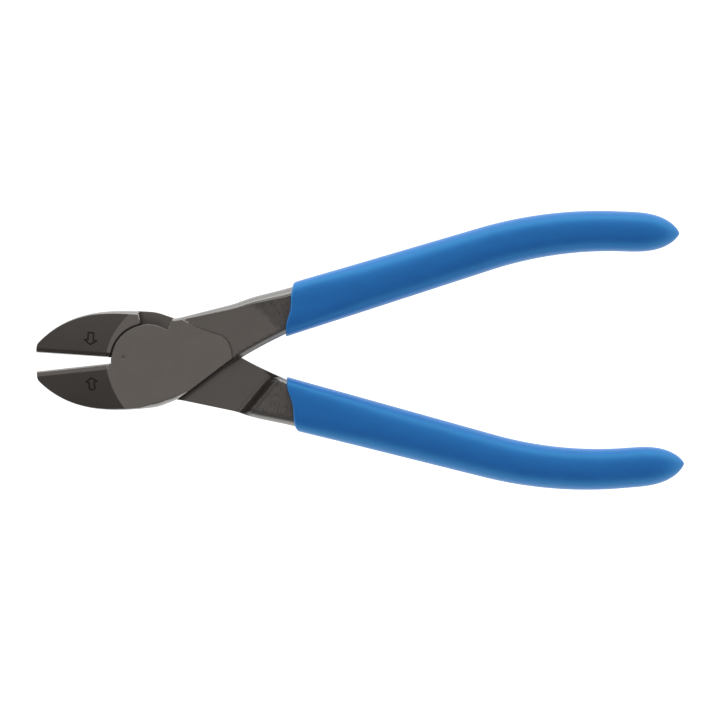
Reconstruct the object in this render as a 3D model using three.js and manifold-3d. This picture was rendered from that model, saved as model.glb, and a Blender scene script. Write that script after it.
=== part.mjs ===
// Side cutters: lap-jointed diagonal cutting pliers with dipped vinyl grips.
// Millimetres and degrees, +Z up. The tool lies on its rear joint plate at z = 0, the pivot is the Z axis,
// the jaws point along -X and the handles along +X. Both forged halves have one shape: the rear half is the
// front half turned over about the long axis. A half is drawn closed, with its lap plane on z = 0, its cutting
// edge on y = 0, its jaw on the -Y side and its handle on the +Y side.

import * as THREE from "three";
import { mergeVertices } from "three/addons/utils/BufferGeometryUtils.js";
import Module from "manifold-3d";

const wasm = await Module();
wasm.setup();

// Joint
const headThickness = 11.5;
const jawOpening = 9.8; // between the two cutting edges, as the tool lies
const lapGap = 0.1; // between the two sliding lap faces
const lapRadius = 13.42; // outside of the joint
const discRadius = 10; // disc of the plate that turns in the other jaw's socket
const socketGap = 0.7;
const stopAngle = 51.7; // wall of the plate's notch, from the handle side
const jawEndAngle = 103.5; // end of the jaw, which meets that wall when the tool is wide open
const notchFillet = 1;

// Rivet, with a countersunk head flush in each plate
const rivetRadius = 3.9;
const rivetHeadRadius = 5.2;
const rivetHeadDepth = 1.3;
const rivetClearance = 0.05;

// Jaw
const jawReach = 31; // pivot to tip
const tipWidth = 2.3;
const tipThickness = 5.5;
const tipSlope = 51.8; // back of the jaw at the tip, from the long axis
const tipPull = 13.2; // how far the tip's slope carries along the back of the jaw
const jawBackStart = 269.3; // where the back of the jaw leaves the joint's round
const jawBackPull = 11.1;
const facetStart = 11.35; // pivot to where the jaw starts to thin
const facetCrown = 115; // radius of the thinned face, across the jaw
const bevelWidth = 1.4; // ground strip along the cutting edge, in plan

// Joint plate, raised above the handle
const plateEdgeAngle = 30.9; // straight edge of the plate, from the long axis
const plateEdgeOffset = 0.45; // how far that edge lies outside the joint's round
const plateEdgeLength = 19.3;
const plateRoundEnd = 292; // where the joint's round gives way to the straight edge
const plateReach = 24; // pivot to the far end of the plate
const plateStep = 0.8;
const plateTopRun = 2; // outside of the handle that the plate takes up beyond the notch
const plateShoulderX = 20.3; // where the plate's upper edge starts to turn down
const plateShoulderY = 5;
const plateWaistX = 14.2; // the hollow in the plate's upper edge
const plateWaistY = 7.4;
const plateCornerY = 3.8;

// Forged handle
const mouthX = 41.1; // where the handle enters the grip
const mouthY = 9.7;
const handleAngle = 11.1; // straight part of the handle, from the long axis
const tangWidth = 11.4; // at the grip's mouth
const tangEndWidth = 8.7;
const rootOuterBow = 0.35; // how far the outside of the root sags from a straight line
const webStart = 15.3; // along the plate's straight edge, to where the web between the handles leaves it
const webSlope = 0.2; // web where it leaves the plate, from the long axis
const webPull = 4.7;
const rootInnerSlope = 18.8; // inside of the root where it enters the grip
const rootInnerPull = 19.9;
const rootInset = 0.3; // root inside the plate's straight edge
const rootSquareness = 5.5; // superellipse exponent of the section
const mouthSquareness = 4.2;
const tangSquareness = 3;
const seatAngle = 35; // square across the step that ends the lap seat
const seatSetback = 9.85; // from that step to the middle of the grip's mouth
const seatWallRun = 2.1;
const seatFillet = 1.2;

// Dipped grip
const straightLength = 57;
const bendRadius = 113;
const bendAngle = 19.2;
const tailLength = 17.3;
const noseLength = 15.5;
const noseFullness = 0.72; // exponent of the nose's outline: less is blunter
const gripWall = 1.1;
const gripGap = 0.15;
const gripEndWall = 4.5;
const gripTailThickness = 10.3;
const mouthTilt = 25.5; // mouth from square across the handle
const gripSquareness = 2.7;
const gripRoundedBy = 0.25; // share of the handle by which the grip has that section

// Engraved marks
const arrowReach = 15.95; // pivot to the arrow's axis
const arrowSetback = 3; // cutting edge to the arrow's point
const arrowLength = 3.85;
const arrowHeadLength = 1.75;
const arrowHeadWidth = 5;
const arrowShaftWidth = 2;
const arrowLine = 0.45;
const arrowDepth = 0.25;
const dimpleX = -6.4; // hardness test mark on the plate
const dimpleY = 1.4;
const dimpleRadius = 0.55;
const dimpleDepth = 0.2;

// Facets
const arcSteps = 14;
const roundSteps = 48;
const sectionSides = 20;
const bendSteps = 7;
const bevelSteps = 6;
const rootShares = [0.05, 0.2, 0.4, 0.48, 0.57, 0.67, 0.78, 0.9]; // stations along the root
const noseShares = [0.1, 0.3, 0.5, 0.65, 0.78, 0.88, 0.95, 0.985]; // stations along the nose
const bluntShares = noseShares.slice(0, 5); // the tang stops short of a point

const steelColor = 0x4b4744;
const rivetColor = 0x524e4a;
const vinylColor = 0x1f66b0;

// Derived sizes
const halfHead = headThickness / 2;
const lapFace = lapGap / 2;
const socketRadius = discRadius + socketGap;
const plateEdgeReach = lapRadius + plateEdgeOffset;
const facetSlope = (halfHead - tipThickness / 2) / (jawReach - facetStart);
const tangHalfThickness = halfHead - gripWall - gripGap;
const bendLength = bendRadius * THREE.MathUtils.degToRad(bendAngle);
const bendEnd = straightLength + bendLength;
const gripLength = bendEnd + tailLength;
const tangLength = gripLength - gripEndWall;
const cutterReach = 4 * (jawReach + lapRadius); // longer than anything that is cut

const Y = new THREE.Vector3(0, 1, 0);
const Z = new THREE.Vector3(0, 0, 1);
const rad = THREE.MathUtils.degToRad;
const lerp = THREE.MathUtils.lerp;

function polar(radius, angle) {
  return new THREE.Vector2(radius * Math.cos(rad(angle)), radius * Math.sin(rad(angle)));
}

function solidFrom(geometry) {
  const bare = geometry.clone();
  bare.deleteAttribute("normal");
  bare.deleteAttribute("uv");
  const merged = mergeVertices(bare);
  const corners = merged.index.array;
  const kept = [];
  for (let i = 0; i < corners.length; i += 3) {
    const [a, b, c] = [corners[i], corners[i + 1], corners[i + 2]];
    if (a !== b && b !== c && c !== a) kept.push(a, b, c);
  }
  const vertProperties = Float32Array.from(merged.attributes.position.array);
  const triVerts = Uint32Array.from(kept);
  return new wasm.Manifold(new wasm.Mesh({ numProp: 3, vertProperties, triVerts }));
}

function geometryFrom(solid) {
  const mesh = solid.getMesh();
  const geometry = new THREE.BufferGeometry();
  geometry.setAttribute("position", new THREE.BufferAttribute(Float32Array.from(mesh.vertProperties), 3));
  geometry.setIndex(new THREE.BufferAttribute(Uint32Array.from(mesh.triVerts), 1));
  geometry.computeVertexNormals();
  return geometry;
}

// The same cutter on the other face of a half.
function mirroredAcrossLap(geometry) {
  const mirrored = mergeVertices(geometry.clone().deleteAttribute("normal").deleteAttribute("uv"));
  mirrored.scale(1, 1, -1);
  const corners = mirrored.index.array;
  for (let i = 0; i < corners.length; i += 3) {
    [corners[i], corners[i + 1]] = [corners[i + 1], corners[i]];
  }
  return mirrored;
}

function extruded(shape, bottom, top) {
  const options = { depth: top - bottom, bevelEnabled: false, curveSegments: arcSteps };
  return new THREE.ExtrudeGeometry(shape, options).translate(0, 0, bottom);
}

// Closed skin over rings with the same number of points, ordered so that a ring turns from +Y to +Z
// as the rings advance along +X.
function skinned(rings) {
  const sides = rings[0].length;
  const corners = [];
  for (let k = 0; k + 1 < rings.length; k += 1) {
    for (let j = 0; j < sides; j += 1) {
      const [near, next] = [k * sides + j, k * sides + ((j + 1) % sides)];
      const [far, farNext] = [near + sides, next + sides];
      corners.push(near, next, farNext, near, farNext, far);
    }
  }
  const last = (rings.length - 1) * sides;
  for (let j = 1; j + 1 < sides; j += 1) {
    corners.push(0, j + 1, j);
    corners.push(last, last + j, last + j + 1);
  }
  const geometry = new THREE.BufferGeometry().setFromPoints(rings.flat());
  geometry.setIndex(corners);
  return geometry;
}

// Superellipse section between an inner and an outer point of the plan, standing square on it.
function sectionRing(station, grow) {
  const across = station.outer.clone().sub(station.inner);
  const middle = station.outer.clone().add(station.inner).multiplyScalar(0.5);
  const half = across.clone().multiplyScalar(0.5 + grow / across.length());
  const height = station.halfThickness + grow;
  const power = 2 / station.squareness;
  const ring = [];
  for (let j = 0; j < sectionSides; j += 1) {
    const turn = (2 * Math.PI * j) / sectionSides;
    const u = Math.sign(Math.cos(turn)) * Math.abs(Math.cos(turn)) ** power;
    const v = Math.sign(Math.sin(turn)) * Math.abs(Math.sin(turn)) ** power;
    ring.push(new THREE.Vector3(middle.x + half.x * u, middle.y + half.y * u, height * v));
  }
  return ring;
}

// Corners of the half's plan
const notchCorner = polar(lapRadius, stopAngle);
const plateEdgeStart = polar(plateEdgeReach, plateEdgeAngle - 90);
const plateEdgeEnd = plateEdgeStart.clone().add(polar(plateEdgeLength, plateEdgeAngle));
const mouth = new THREE.Vector2(mouthX, mouthY);

// Middle line of the handle, by its length from the grip's mouth: straight, then bent towards the other
// handle, then straight again.
function spine(length) {
  const start = rad(handleAngle);
  const along = polar(Math.min(length, straightLength), handleAngle);
  const point = mouth.clone().add(along);
  let direction = start;
  if (length > straightLength) {
    const bent = Math.min(length, bendEnd) - straightLength;
    direction = start - bent / bendRadius;
    point.x += bendRadius * (Math.sin(start) - Math.sin(direction));
    point.y += bendRadius * (Math.cos(direction) - Math.cos(start));
  }
  const tail = Math.max(length - bendEnd, 0);
  point.x += tail * Math.cos(direction);
  point.y += tail * Math.sin(direction);
  return { point, side: new THREE.Vector2(-Math.sin(direction), Math.cos(direction)) };
}

// Share of the full section that is left at a length, where the end rounds off to a point.
function noseShare(length, total) {
  const t = THREE.MathUtils.clamp((length - total + noseLength) / noseLength, 0, 1);
  return (1 - t ** 3) ** noseFullness;
}

function sleevedStation(length, total, cover, squarenessThere) {
  const share = Math.min(Math.max(length, 0) / bendEnd, 1);
  const nose = noseShare(length, total);
  const tailHalf = gripTailThickness / 2 - gripWall - gripGap;
  const thinning = THREE.MathUtils.smoothstep(length, straightLength, gripLength);
  const halfWidth = (lerp(tangWidth, tangEndWidth, share) / 2 + cover) * nose;
  const halfThickness = (lerp(tangHalfThickness, tailHalf, thinning) + cover) * nose;
  const { point, side } = spine(length);
  const outer = point.clone().addScaledVector(side, halfWidth);
  const inner = point.clone().addScaledVector(side, -halfWidth);
  return { outer, inner, halfThickness, squareness: squarenessThere(share) };
}

const tangSection = (share) => lerp(mouthSquareness, tangSquareness, share);
const gripSection = (share) => lerp(mouthSquareness, gripSquareness, Math.min(share / gripRoundedBy, 1));

const mouthStation = sleevedStation(0, tangLength, 0, tangSection);
const rootOuter = bowed(notchCorner, mouthStation.outer, rootOuterBow);
const web = insideEdge(webStart);
const rootInner = new THREE.CubicBezierCurve(
  web,
  web.clone().add(polar(webPull, webSlope)),
  mouthStation.inner.clone().sub(polar(rootInnerPull, rootInnerSlope)),
  mouthStation.inner,
);

// Point just inside the plate's straight edge, by its length along that edge.
function insideEdge(length) {
  const onEdge = plateEdgeStart.clone().add(polar(length, plateEdgeAngle));
  return onEdge.add(polar(rootInset, plateEdgeAngle + 90));
}

// Curve between two points that sags to the right of the straight line.
function bowed(from, to, sag) {
  const chord = to.clone().sub(from);
  const right = new THREE.Vector2(chord.y, -chord.x).normalize();
  const control = from.clone().lerp(to, 0.5).addScaledVector(right, 2 * sag);
  return new THREE.QuadraticBezierCurve(from, control, to);
}

// Stations of the forged root, from under the plate to the grip's mouth.
function rootStations() {
  const besidePlate = 0.4; // share of the root's length that runs along the plate's straight edge
  const stations = [];
  for (const share of rootShares) {
    const outer = rootOuter.getPoint(share);
    const beyond = (share - besidePlate) / (1 - besidePlate);
    const inner = beyond < 0 ? insideEdge((webStart * share) / besidePlate) : rootInner.getPoint(beyond);
    const halfThickness = lerp(halfHead - plateStep, tangHalfThickness, share);
    const squareness = lerp(rootSquareness, mouthSquareness, share);
    stations.push({ outer, inner, halfThickness, squareness });
  }
  return stations;
}

function bendLengths() {
  const lengths = [0];
  for (let k = 0; k <= bendSteps; k += 1) lengths.push(straightLength + (bendLength * k) / bendSteps);
  return lengths;
}

function noseLengths(shares, total) {
  return shares.map((share) => total - noseLength * (1 - share));
}

// Stations of the tang, which ends blunt, and of the room for it, which ends further on.
function tangStations(room) {
  const lengths = [...bendLengths(), ...noseLengths(bluntShares, tangLength)];
  const stations = lengths.map((length) => sleevedStation(length, tangLength, 0, tangSection));
  const along = polar(room, handleAngle - bendAngle);
  const last = stations.at(-1);
  last.outer.add(along);
  last.inner.add(along);
  return stations;
}

// Plan of the jaw and the raised plate.
function headOutline() {
  const shape = new THREE.Shape();
  const tip = new THREE.Vector2(-jawReach, -tipWidth);
  const back = polar(lapRadius, jawBackStart);
  const tipControl = tip.clone().add(polar(tipPull, -tipSlope));
  const backControl = back.clone().add(polar(jawBackPull, jawBackStart - 90));
  shape.moveTo(-jawReach, 0);
  shape.lineTo(tip.x, tip.y);
  shape.bezierCurveTo(tipControl.x, tipControl.y, backControl.x, backControl.y, back.x, back.y);
  shape.absarc(0, 0, lapRadius, rad(jawBackStart), rad(plateRoundEnd), false);
  shape.lineTo(plateEdgeStart.x, plateEdgeStart.y);
  shape.lineTo(plateEdgeEnd.x, plateEdgeEnd.y);
  shape.quadraticCurveTo(plateReach, plateCornerY, plateShoulderX, plateShoulderY);
  const top = rootOuter.getPoint(plateTopRun / rootOuter.getLength());
  shape.quadraticCurveTo(plateWaistX, plateWaistY, top.x, top.y);
  shape.lineTo(notchCorner.x, notchCorner.y);
  notchAndDisc(shape);
  return shape;
}

// From the notch's outer corner down its wall, round its fillet and over the disc to the cutting edge.
function notchAndDisc(shape) {
  const filletReach = discRadius + notchFillet;
  const filletAngle = stopAngle + THREE.MathUtils.radToDeg(Math.asin(notchFillet / filletReach));
  const wallEnd = polar(Math.sqrt(filletReach ** 2 - notchFillet ** 2), stopAngle);
  const centre = polar(filletReach, filletAngle);
  shape.lineTo(wallEnd.x, wallEnd.y);
  shape.absarc(centre.x, centre.y, notchFillet, rad(stopAngle - 90), rad(filletAngle - 180), true);
  shape.absarc(0, 0, discRadius, rad(filletAngle), Math.PI, false);
}

// Room behind the plate for the other half: everything past the jaw's socket and end wall.
function lapPocket() {
  const shape = new THREE.Shape();
  const wall = polar(cutterReach, -jawEndAngle);
  shape.moveTo(-socketRadius, cutterReach);
  shape.lineTo(-socketRadius, 0);
  shape.absarc(0, 0, socketRadius, Math.PI, rad(360 - jawEndAngle), false);
  shape.lineTo(wall.x, wall.y);
  shape.lineTo(cutterReach, wall.y);
  shape.lineTo(cutterReach, cutterReach);
  return extruded(shape, -headThickness, lapFace);
}

// Lap seat on the back of the handle, up to the slanted step where the handle takes its full thickness.
function lapSeat() {
  const across = polar(1, seatAngle);
  const foot = mouth.dot(across) - seatSetback;
  const wallHeight = halfHead + lapFace;
  const rise = Math.min(seatFillet, wallHeight);
  const shape = new THREE.Shape();
  shape.moveTo(-cutterReach, lapFace);
  shape.lineTo(foot - seatFillet, lapFace);
  shape.quadraticCurveTo(foot, lapFace, foot + (seatWallRun * rise) / wallHeight, lapFace - rise);
  shape.lineTo(foot + seatWallRun, -halfHead);
  shape.lineTo(foot + seatWallRun, -headThickness);
  shape.lineTo(-cutterReach, -headThickness);
  const wallNormal = new THREE.Vector3(across.x, across.y, 0);
  const frame = new THREE.Matrix4().makeBasis(wallNormal, Z, wallNormal.clone().cross(Z));
  return extruded(shape, -cutterReach / 2, cutterReach / 2).applyMatrix4(frame);
}

// Height of the thinned jaw face above the lap plane.
function facetHeight(x, y) {
  const thinned = halfHead + facetSlope * (x + facetStart) - y ** 2 / (2 * facetCrown);
  return Math.min(thinned, halfHead);
}

// Everything outside the thinned face of the jaw: a crowned profile carried along the slope towards the tip.
function facetCutter() {
  const depth = 2 * lapRadius;
  const drop = depth ** 2 / (2 * facetCrown);
  const shape = new THREE.Shape();
  shape.moveTo(0, 0);
  shape.quadraticCurveTo(depth / 2, 0, depth, -drop);
  shape.lineTo(depth, depth);
  shape.lineTo(-lapRadius, depth);
  shape.lineTo(-lapRadius, 0);
  const fall = Math.atan(facetSlope);
  const along = new THREE.Vector3(-Math.cos(fall), 0, -Math.sin(fall));
  const upright = new THREE.Vector3(-Math.sin(fall), 0, Math.cos(fall));
  const frame = new THREE.Matrix4().makeBasis(Y.clone().negate(), upright, along);
  frame.setPosition(-facetStart, 0, halfHead);
  return extruded(shape, -discRadius, 2 * jawReach).applyMatrix4(frame);
}

// Strip ground along the cutting edge, from the lap plane at the edge up to the jaw's face.
function bevelCutter() {
  const rings = [];
  for (let k = 0; k <= bevelSteps; k += 1) {
    const x = lerp(-jawReach - bevelWidth, -discRadius, k / bevelSteps);
    rings.push([
      new THREE.Vector3(x, bevelWidth, 0),
      new THREE.Vector3(x, bevelWidth, headThickness),
      new THREE.Vector3(x, -bevelWidth, headThickness),
      new THREE.Vector3(x, -bevelWidth, facetHeight(x, -bevelWidth)),
      new THREE.Vector3(x, 0, 0),
    ]);
  }
  return skinned(rings);
}

function rivetProfile(grow) {
  const [shank, head] = [rivetRadius + grow, rivetHeadRadius + grow];
  const neck = halfHead - rivetHeadDepth;
  const end = grow > 0 ? headThickness : halfHead;
  const half = [[head, end], [head, halfHead], [shank, neck]];
  const straight = grow > 0 ? half : half.slice(1);
  const below = straight.map(([r, z]) => [r, -z]);
  const points = [[0, -end], ...below, ...straight.reverse(), [0, end]];
  return points.map(([r, z]) => new THREE.Vector2(r, z));
}

function rivetGeometry(grow) {
  return new THREE.LatheGeometry(rivetProfile(grow), roundSteps).rotateX(Math.PI / 2);
}

// The polygon moved inwards by a distance, with its corners kept.
function inset(points, distance) {
  return points.map((point, i) => {
    const before = point.clone().sub(points.at(i - 1)).normalize();
    const after = points[(i + 1) % points.length].clone().sub(point).normalize();
    const bisector = new THREE.Vector2(-before.y - after.y, before.x + after.x).normalize();
    const lean = bisector.dot(new THREE.Vector2(-after.y, after.x));
    return point.clone().addScaledVector(bisector, distance / lean);
  });
}

// Outline arrow cut into the jaw's face, pointing at the cutting edge.
function arrowCutter() {
  const [head, shaft] = [arrowHeadWidth / 2, arrowShaftWidth / 2];
  const corners = [
    [0, 0],
    [-head, -arrowHeadLength],
    [-shaft, -arrowHeadLength],
    [-shaft, -arrowLength],
    [shaft, -arrowLength],
    [shaft, -arrowHeadLength],
    [head, -arrowHeadLength],
  ].map(([x, y]) => new THREE.Vector2(x, y + arrowLength / 2));
  const shape = new THREE.Shape(corners);
  shape.holes.push(new THREE.Path(inset(corners, arrowLine)));
  const y = -arrowSetback - arrowLength / 2;
  const normal = new THREE.Vector3(-facetSlope, y / facetCrown, 1).normalize();
  const lean = new THREE.Quaternion().setFromUnitVectors(Z, normal);
  const frame = new THREE.Matrix4().makeRotationFromQuaternion(lean);
  frame.setPosition(-arrowReach, y, facetHeight(-arrowReach, y));
  return extruded(shape, -arrowDepth, tipThickness).applyMatrix4(frame);
}

function dimpleCutter() {
  const ball = (dimpleRadius ** 2 + dimpleDepth ** 2) / (2 * dimpleDepth);
  const sphere = new THREE.SphereGeometry(ball, arcSteps, arcSteps).rotateX(Math.PI / 2);
  return sphere.translate(dimpleX, dimpleY, halfHead - dimpleDepth + ball);
}

// One forging. The marks are cutters for the face that is seen with the tool lying as it is.
function forgedHalf(marks) {
  const handleRings = [...rootStations(), ...tangStations(0)].map((station) => sectionRing(station, 0));
  const handle = solidFrom(skinned(handleRings)).subtract(solidFrom(lapSeat()));
  let half = solidFrom(extruded(headOutline(), -halfHead, halfHead));
  half = half.subtract(solidFrom(lapPocket())).add(handle);
  for (const cutter of [facetCutter(), bevelCutter()]) {
    half = half.subtract(solidFrom(cutter)).subtract(solidFrom(mirroredAcrossLap(cutter)));
  }
  half = half.subtract(solidFrom(rivetGeometry(rivetClearance)));
  for (const mark of marks) half = half.subtract(solidFrom(mark));
  return geometryFrom(half);
}

// Sleeve that follows the tang, open at its slanted mouth and closed by a drip point at its end.
function dippedGrip() {
  const skin = gripGap + gripWall;
  const lengths = [-tangWidth, ...bendLengths(), ...noseLengths(noseShares, gripLength)];
  const sleeve = lengths.map((length) => sleevedStation(length, gripLength, skin, gripSection));
  const outside = sleeve.map((station) => sectionRing(station, 0));
  const tang = [...rootStations().slice(-3), ...tangStations(gripGap)];
  const inside = tang.map((station) => sectionRing(station, gripGap));
  const mouthCut = new THREE.BoxGeometry(cutterReach, cutterReach, cutterReach);
  mouthCut.translate(-cutterReach / 2, 0, 0);
  mouthCut.rotateZ(rad(handleAngle - mouthTilt));
  mouthCut.translate(mouth.x, mouth.y, 0);
  const grip = solidFrom(skinned(outside)).subtract(solidFrom(skinned(inside)));
  return geometryFrom(grip.subtract(solidFrom(mouthCut)));
}

function steel(color) {
  return new THREE.MeshStandardMaterial({ color, roughness: 0.45, metalness: 0.9 });
}

function named(name, geometry, material) {
  const mesh = new THREE.Mesh(geometry, material);
  mesh.name = name;
  return mesh;
}

const vinyl = () => new THREE.MeshStandardMaterial({ color: vinylColor, roughness: 0.42, metalness: 0 });

const front = new THREE.Group();
front.rotation.z = rad(jawOpening / 2);
front.add(named("front_half", forgedHalf([arrowCutter(), dimpleCutter()]), steel(steelColor)));
front.add(named("upper_grip", dippedGrip(), vinyl()));
front.add(named("pivot_rivet", rivetGeometry(0), steel(rivetColor)));

const turnedOver = new THREE.Group();
turnedOver.rotation.x = Math.PI;
turnedOver.add(named("rear_half", forgedHalf([mirroredAcrossLap(arrowCutter())]), steel(steelColor)));
turnedOver.add(named("lower_grip", dippedGrip(), vinyl()));
const rear = new THREE.Group();
rear.rotation.z = -rad(jawOpening / 2);
rear.add(turnedOver);

const cutters = new THREE.Group();
cutters.position.z = halfHead;
cutters.add(front, rear);

export default cutters;
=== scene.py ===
import math
import bmesh
import bpy
import numpy as np
from mathutils import Matrix, Vector
from mathutils.geometry import delaunay_2d_cdt


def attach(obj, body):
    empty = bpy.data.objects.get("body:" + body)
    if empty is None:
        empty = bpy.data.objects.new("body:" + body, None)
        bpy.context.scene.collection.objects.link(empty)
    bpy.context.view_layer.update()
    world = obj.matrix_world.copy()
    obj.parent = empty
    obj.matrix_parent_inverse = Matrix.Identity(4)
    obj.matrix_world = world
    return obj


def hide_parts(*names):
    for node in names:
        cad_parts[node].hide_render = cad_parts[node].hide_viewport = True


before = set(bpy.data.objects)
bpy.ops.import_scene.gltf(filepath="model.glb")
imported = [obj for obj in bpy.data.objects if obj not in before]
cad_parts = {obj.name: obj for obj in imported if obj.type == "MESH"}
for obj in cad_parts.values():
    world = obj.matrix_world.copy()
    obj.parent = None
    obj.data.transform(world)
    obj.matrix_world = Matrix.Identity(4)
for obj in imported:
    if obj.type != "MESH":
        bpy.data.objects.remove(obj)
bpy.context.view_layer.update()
scene = bpy.context.scene
print("frame loaded:", ", ".join(sorted(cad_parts)))

# Millimetres and degrees up to the mesh. A half is drawn closed: lap plane z = 0, cutting edge y = 0,
# jaw on the -Y side, handle on the +Y side, pivot at the origin.
joint = {
    "halfThick": 5.75,  # of the head
    "turned": 4.9,  # each half from its closed place
    "lapFace": 0.05,  # sliding face from the lap plane
    "lapRound": 13.42,  # outside of the joint
    "discRound": 10.0,
    "discEase": 0.33,  # by which the disc falls back, notch to throat
    "easeFrom": (72, 116),  # angles where that begins
    "easeTo": (163, 173),  # and ends
    "socketRound": 10.35,
    "stopAngle": 51.7,  # notch wall, at its outer corner
    "stopFoot": 48.9,  # and where it meets the disc
    "notchFillet": 0.5,
    "jawEnd": 256.5,  # end wall of the jaw, behind
    "jawEndRound": 0.4,
    "jawEndFade": (11.0, 12.4),  # radii between which that round begins
}
jaw = {
    "reach": 31.0,
    "middle": 17.0,  # where the back's round grows faster
    "tipWidth": 2.3,
    "tipThick": 2.75,  # half of it
    "tipSlope": 51.8, "tipPull": 13.2,
    "backStart": 269.3,  # where the back meets the joint
    "backPull": 11.1, "facetStart": 11.35,
    "frontCrown": 140,  # radius of the lower jaw's ground face
    "rearCrown": 90,
    "bevel": 1.4,  # strip ground along the cutting edge
    "bevelSlope": 20,  # from the face
    "edgeWidth": 0.3,  # steep part that ends at the cutting edge
    "edgeStop": 0.3,  # left before the socket
    "runOut": 2.0,  # where the strip fades out before the disc
}
plate = {
    "edgeAngle": 30.9, "edgeOffset": 0.45, "edgeLength": 19.3, "roundEnd": 287.0,
    "roundFade": 3.0,  # where the lap's round fades out
    "step": 0.8, "topRun": 2.0, "corner": (24.0, 3.8), "shoulder": (20.3, 5.0),
    "waist": (14.2, 7.4),
    "wallRun": 0.06,  # plan width of the step down to the handle
    "topWallRun": 0.4,  # and at its upper end
    "topWallEnd": (11.6, 16.0),  # x between which it narrows
    "shadeAndMarks": (0.16, 0.5),  # how dark the painted shade at its foot is, from the top down
    "shadeRun": (13, 24),
}
handle = {
    "mouth": (41.1, 9.7), "angle": 11.1, "width": 11.4, "endWidth": 8.7,
    "level": 4.5,  # half thickness at the grip's mouth
    "levelFrom": 9.0,  # x where it starts to thin towards that
    "levelRun": 32.0, "tailLevel": 3.9,
    "rootFrom": (11.0, 10.8),  # outside of the handle, and its slope
    "rootSlope": 0.142,
    "rootEase": 3.0,  # length in which it leaves the notch's corner
    "swell": 0.55,  # where the forging widens towards the grip
    "swellRun": (24.5, 32.5),
    "swellEase": 9.0,  # length in which the tang takes that back
    "webStart": 15.3, "webSlope": 0.2, "webPull": 4.7,
    "crotch": 26.6,  # x where the inside's round is full
    "innerSlope": 18.8, "innerPull": 19.9, "straight": 57.0, "bendRound": 113.0, "bendAngle": 19.2,
    "tail": 17.05, "nose": 15.5, "noseFullness": 0.72,
    "tangShort": 4.5,  # tang ends this far inside the grip's end
    "tangBlunt": 3.4,  # and is cut blunt this far before its own
}


def polar(radius, degrees):
    angle = np.radians(degrees)
    return np.stack([radius * np.cos(angle), radius * np.sin(angle)], -1)


def rotated(points, degrees):
    angle = math.radians(degrees)
    turn = np.array([[math.cos(angle), -math.sin(angle)], [math.sin(angle), math.cos(angle)]])
    return points @ turn.T


def smooth(low, high, value):  # 3t^2 - 2t^3 between low and high
    t = np.clip((value - low) / (high - low), 0, 1)
    return t * t * (3 - 2 * t)


def blend(a, b, share):
    return a + (b - a) * share


def bezier(controls, count=80):  # repeated mixing of neighbouring controls
    t = np.linspace(0, 1, count)[:, None]
    layer = [np.asarray(point, float)[None] + 0 * t for point in controls]
    while len(layer) > 1:
        layer = [blend(a, b, t) for a, b in zip(layer, layer[1:])]
    return layer[0]


def resampled(line, step, cutStart=0.0, cutEnd=0.0):  # even points along a line, its ends cut off
    length = np.concatenate([[0], np.cumsum(np.linalg.norm(np.diff(line, axis=0), axis=1))])
    count = max(int((length[-1] - cutStart - cutEnd) / step), 1) + 1
    at = np.linspace(cutStart, length[-1] - cutEnd, count)
    points = np.stack([np.interp(at, length, line[:, 0]), np.interp(at, length, line[:, 1])], 1)
    return points, at / length[-1]


def distanceTo(points, line):
    start = line[:-1]
    step = np.diff(line, axis=0)
    offset = points[:, None] - start[None]
    share = (offset * step).sum(2) / np.maximum((step ** 2).sum(1), 1e-12)
    nearest = offset - np.clip(share, 0, 1)[..., None] * step
    return np.sqrt((nearest ** 2).sum(2).min(1))


def insideOf(points, polygon):  # even-odd count of edges to the right of each point
    x, y = points[:, 0, None], points[:, 1, None]
    ahead = np.roll(polygon, -1, 0)
    rise = ahead[:, 1] - polygon[:, 1]
    rise = np.where(np.abs(rise) < 1e-9, 1e-9, rise)
    crossing = polygon[:, 0] + (y - polygon[:, 1]) * (ahead[:, 0] - polygon[:, 0]) / rise
    straddles = (polygon[:, 1] > y) != (ahead[:, 1] > y)
    return (straddles & (x < crossing)).sum(1) % 2 == 1


def unit(vectors):
    return vectors / np.linalg.norm(vectors, axis=1, keepdims=True)


def sideways(line, closed):  # unit normals to the left of a polyline
    if closed:
        step = np.roll(line, -1, 0) - np.roll(line, 1, 0)
    else:
        step = np.gradient(line, axis=0)
    step = unit(step)
    return np.stack([-step[:, 1], step[:, 0]], 1)


# Handle's middle line by its length from the grip's mouth: straight, arc, straight
bendLength = handle["bendRound"] * math.radians(handle["bendAngle"])
bendEnd = handle["straight"] + bendLength
gripLength = bendEnd + handle["tail"]
tangLength = gripLength - handle["tangShort"]


def spine(length):
    start = math.radians(handle["angle"])
    radius = handle["bendRound"]
    ahead = np.minimum(length, handle["straight"])
    heading = start - np.clip(length - handle["straight"], 0, bendLength) / radius
    tail = np.maximum(length - bendEnd, 0)
    x = handle["mouth"][0] + ahead * math.cos(start) + radius * (math.sin(start) - np.sin(heading))
    y = handle["mouth"][1] + ahead * math.sin(start) + radius * (np.cos(heading) - math.cos(start))
    point = np.stack([x + tail * np.cos(heading), y + tail * np.sin(heading)], -1)
    return point, np.stack([-np.sin(heading), np.cos(heading)], -1)


def noseShare(length, total):  # what an end's rounding leaves of the section: (1 - t^3) ^ fullness
    t = np.clip((length - total + handle["nose"]) / handle["nose"], 0, 1)
    return (1 - t ** 3) ** handle["noseFullness"]


def halfWidth(length):
    return blend(handle["width"], handle["endWidth"], np.clip(length / bendEnd, 0, 1)) / 2


def halfLevel(length):
    return blend(handle["level"], handle["tailLevel"], smooth(handle["straight"], gripLength, length))


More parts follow.
